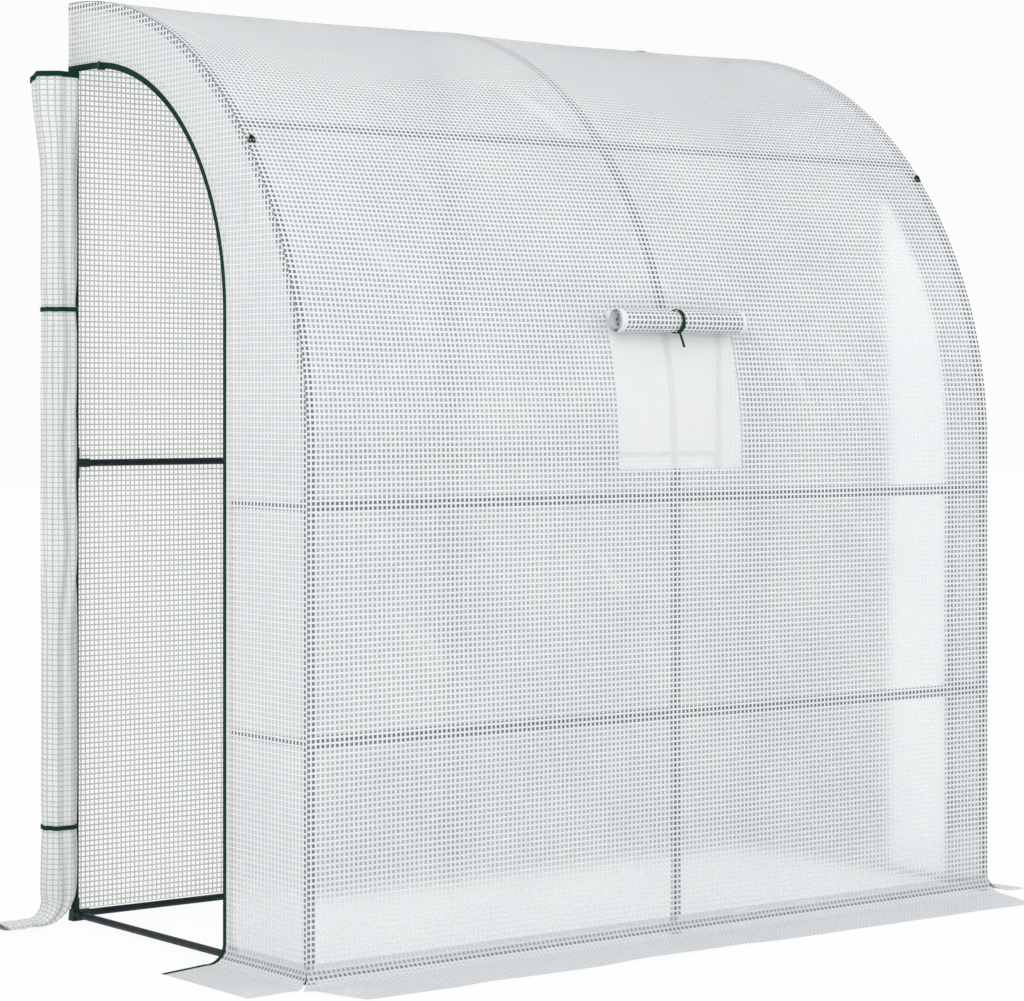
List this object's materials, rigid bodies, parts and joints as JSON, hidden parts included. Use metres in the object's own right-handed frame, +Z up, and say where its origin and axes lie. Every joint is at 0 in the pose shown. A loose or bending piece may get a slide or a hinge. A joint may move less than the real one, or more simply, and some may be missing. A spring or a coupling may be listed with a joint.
{
  "type": "lean-to greenhouse",
  "caption": "Lean-to garden greenhouse: push-fit tube frame with arches, translucent grid-fabric cover, zipped end doors and a netted window under a rolled-up flap.",
  "frame": {"origin": "on the ground under the middle rear post, at the centre of its foot", "axes": "+X along the length to the right seen from the front, +Y towards the wall behind, +Z up"},
  "size_m": [2.2952, 1.218, 2.1395],
  "materials": {
    "tube": "dark slate powder coat, satin",
    "fitting": "dark teal moulded plastic",
    "cover": "translucent polyethylene with a woven reinforcing grid",
    "cover_loose": "the same sheet, rolled or hanging loose",
    "net": "fine pale insect net",
    "binding": "dark green woven tape",
    "zip_hardware": "dark green painted die casting",
    "webbing": "dark grey webbing"
  },
  "bodies": {
    "greenhouse": {"arch_left": "tube", "arch_mid": "tube", "arch_right": "tube", "arch_ties": "binding", "end_ground_rail_left": "tube", "end_ground_rail_right": "tube", "end_panel_left": "cover", "end_panel_right": "cover", "end_rails_left": "tube", "end_rails_right": "tube", "front_and_roof_sheet": "cover", "front_crosses_left": "fitting", "front_crosses_mid": "fitting", "front_crosses_right": "fitting", "front_foot_left": "fitting", "front_foot_right": "fitting", "front_ground_rail": "tube", "front_post_left": "tube", "front_post_mid": "tube", "front_post_right": "tube", "front_rail_low": "tube", "front_rail_mid": "tube", "jamb_fittings_left": "fitting", "jamb_fittings_right": "fitting", "jamb_post_left": "tube", "jamb_post_right": "tube", "mid_feet": "fitting", "purlin": "tube", "purlin_joints": "fitting", "rear_crosses": "fitting", "rear_foot_left": "fitting", "rear_foot_right": "fitting", "rear_ground_rail": "tube", "rear_post_left": "tube", "rear_post_mid": "tube", "rear_post_right": "tube", "rear_rail": "tube", "rear_sheet": "cover", "ridge_joints": "fitting", "ridge_rail": "tube", "skirt_front": "cover", "skirt_left": "cover", "skirt_right": "cover", "tie_tail": "binding", "wall_tabs": "webbing", "window_net": "net", "zip_tape_left": "binding", "zip_tape_right": "binding"},
    "window_flap": {"window_flap": "cover_loose", "window_tie": "binding"},
    "left_door": {"door_bundle_left": "cover_loose", "door_binding_left": "binding", "door_hem_left": "cover_loose", "door_ties_left": "binding"},
    "right_door": {"door_leaf_right": "cover_loose", "door_edge_right": "cover_loose"},
    "left_slider": {"zip_slider_left": "zip_hardware"},
    "left_pull": {"zip_pull_left": "zip_hardware"},
    "right_slider": {"zip_slider_right": "zip_hardware"},
    "right_pull": {"zip_pull_right": "zip_hardware"}
  },
  "joints": [
    {"name": "window_flap_lift", "type": "hinge", "parent": "greenhouse", "child": "window_flap", "pos_m": [0.015, -0.9434, 1.40997], "axis": [-1, 0, 0], "range_deg": [0, 90]},
    {"name": "left_door_swing", "type": "hinge", "parent": "greenhouse", "child": "left_door", "pos_m": [-1.005, 0.011, 0], "axis": [0, 0, 1], "range_deg": [0, 15]},
    {"name": "right_door_swing", "type": "hinge", "parent": "greenhouse", "child": "right_door", "pos_m": [1.005, 0.0104, 0], "axis": [0, 0, 1], "range_deg": [0, 85]},
    {"name": "left_zip_run", "type": "hinge", "parent": "greenhouse", "child": "left_slider", "pos_m": [-1.0046, -0.09, 1.3979], "axis": [1, 0, 0], "range_deg": [-4, 84]},
    {"name": "left_pull_flip", "type": "hinge", "parent": "left_slider", "child": "left_pull", "pos_m": [-1.0114, -0.14003, 1.96972], "axis": [0, -0.9962, -0.0872], "range_deg": [0, 150]},
    {"name": "right_zip_run", "type": "hinge", "parent": "greenhouse", "child": "right_slider", "pos_m": [1.0046, 0, 1.14691], "axis": [1, 0, 0], "range_deg": [0, 42]},
    {"name": "right_pull_flip", "type": "hinge", "parent": "right_slider", "child": "right_pull", "pos_m": [1.0114, -0.60337, 1.70955], "axis": [0, 0.682, 0.7314], "range_deg": [0, 150]}
  ]
}
